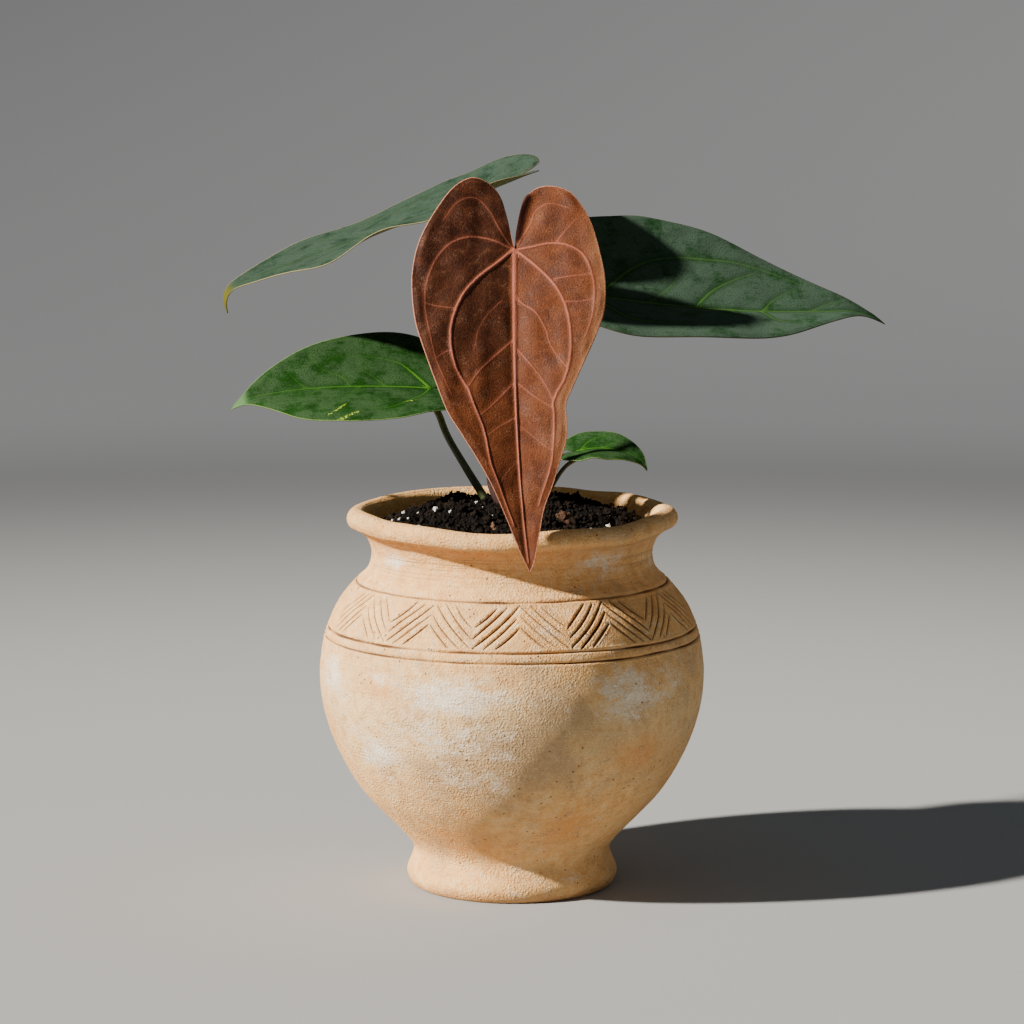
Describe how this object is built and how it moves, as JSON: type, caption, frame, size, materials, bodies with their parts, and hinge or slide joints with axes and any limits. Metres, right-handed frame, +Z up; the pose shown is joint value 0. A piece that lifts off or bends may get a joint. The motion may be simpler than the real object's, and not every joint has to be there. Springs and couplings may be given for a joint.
{
  "type": "potted anthurium hybrid",
  "caption": "Young heart-leaved anthurium hybrid with a hanging bronze leaf and spreading green leaves, growing in soil in a round hand-made clay pot with an incised chevron band.",
  "frame": {"origin": "middle of the pot's flat foot, on the surface that it stands on", "axes": "+Z up; -Y to the front, where the bronze leaf hangs; +X to the right of the front view"},
  "size_m": [0.3034, 0.1724, 0.3236],
  "materials": {
    "clay": "unglazed sandy clay with chalky patches",
    "soil": "loose dark potting mix, matte",
    "crown": "dry brown sheaths over a dark green crown",
    "stalk": "smooth green leaf stalk, satin",
    "bronze_blade": "velvety bronze leaf blade with raised pink veins",
    "dark_green_blade": "dark green leaf blade, low sheen",
    "blue_green_blade": "blue-green leaf blade, low sheen",
    "mid_green_blade": "bright mid-green leaf blade, satin"
  },
  "bodies": {
    "root": {"pot": "clay", "soil": "soil", "crown": "crown", "stalk_front": "stalk", "stalk_right": "stalk", "stalk_upper_left": "stalk", "stalk_lower_left": "stalk", "stalk_small": "stalk", "leaf_front": "bronze_blade", "leaf_right": "dark_green_blade", "leaf_upper_left": "blue_green_blade", "leaf_lower_left": "mid_green_blade", "leaf_small": "mid_green_blade"}
  },
  "joints": []
}
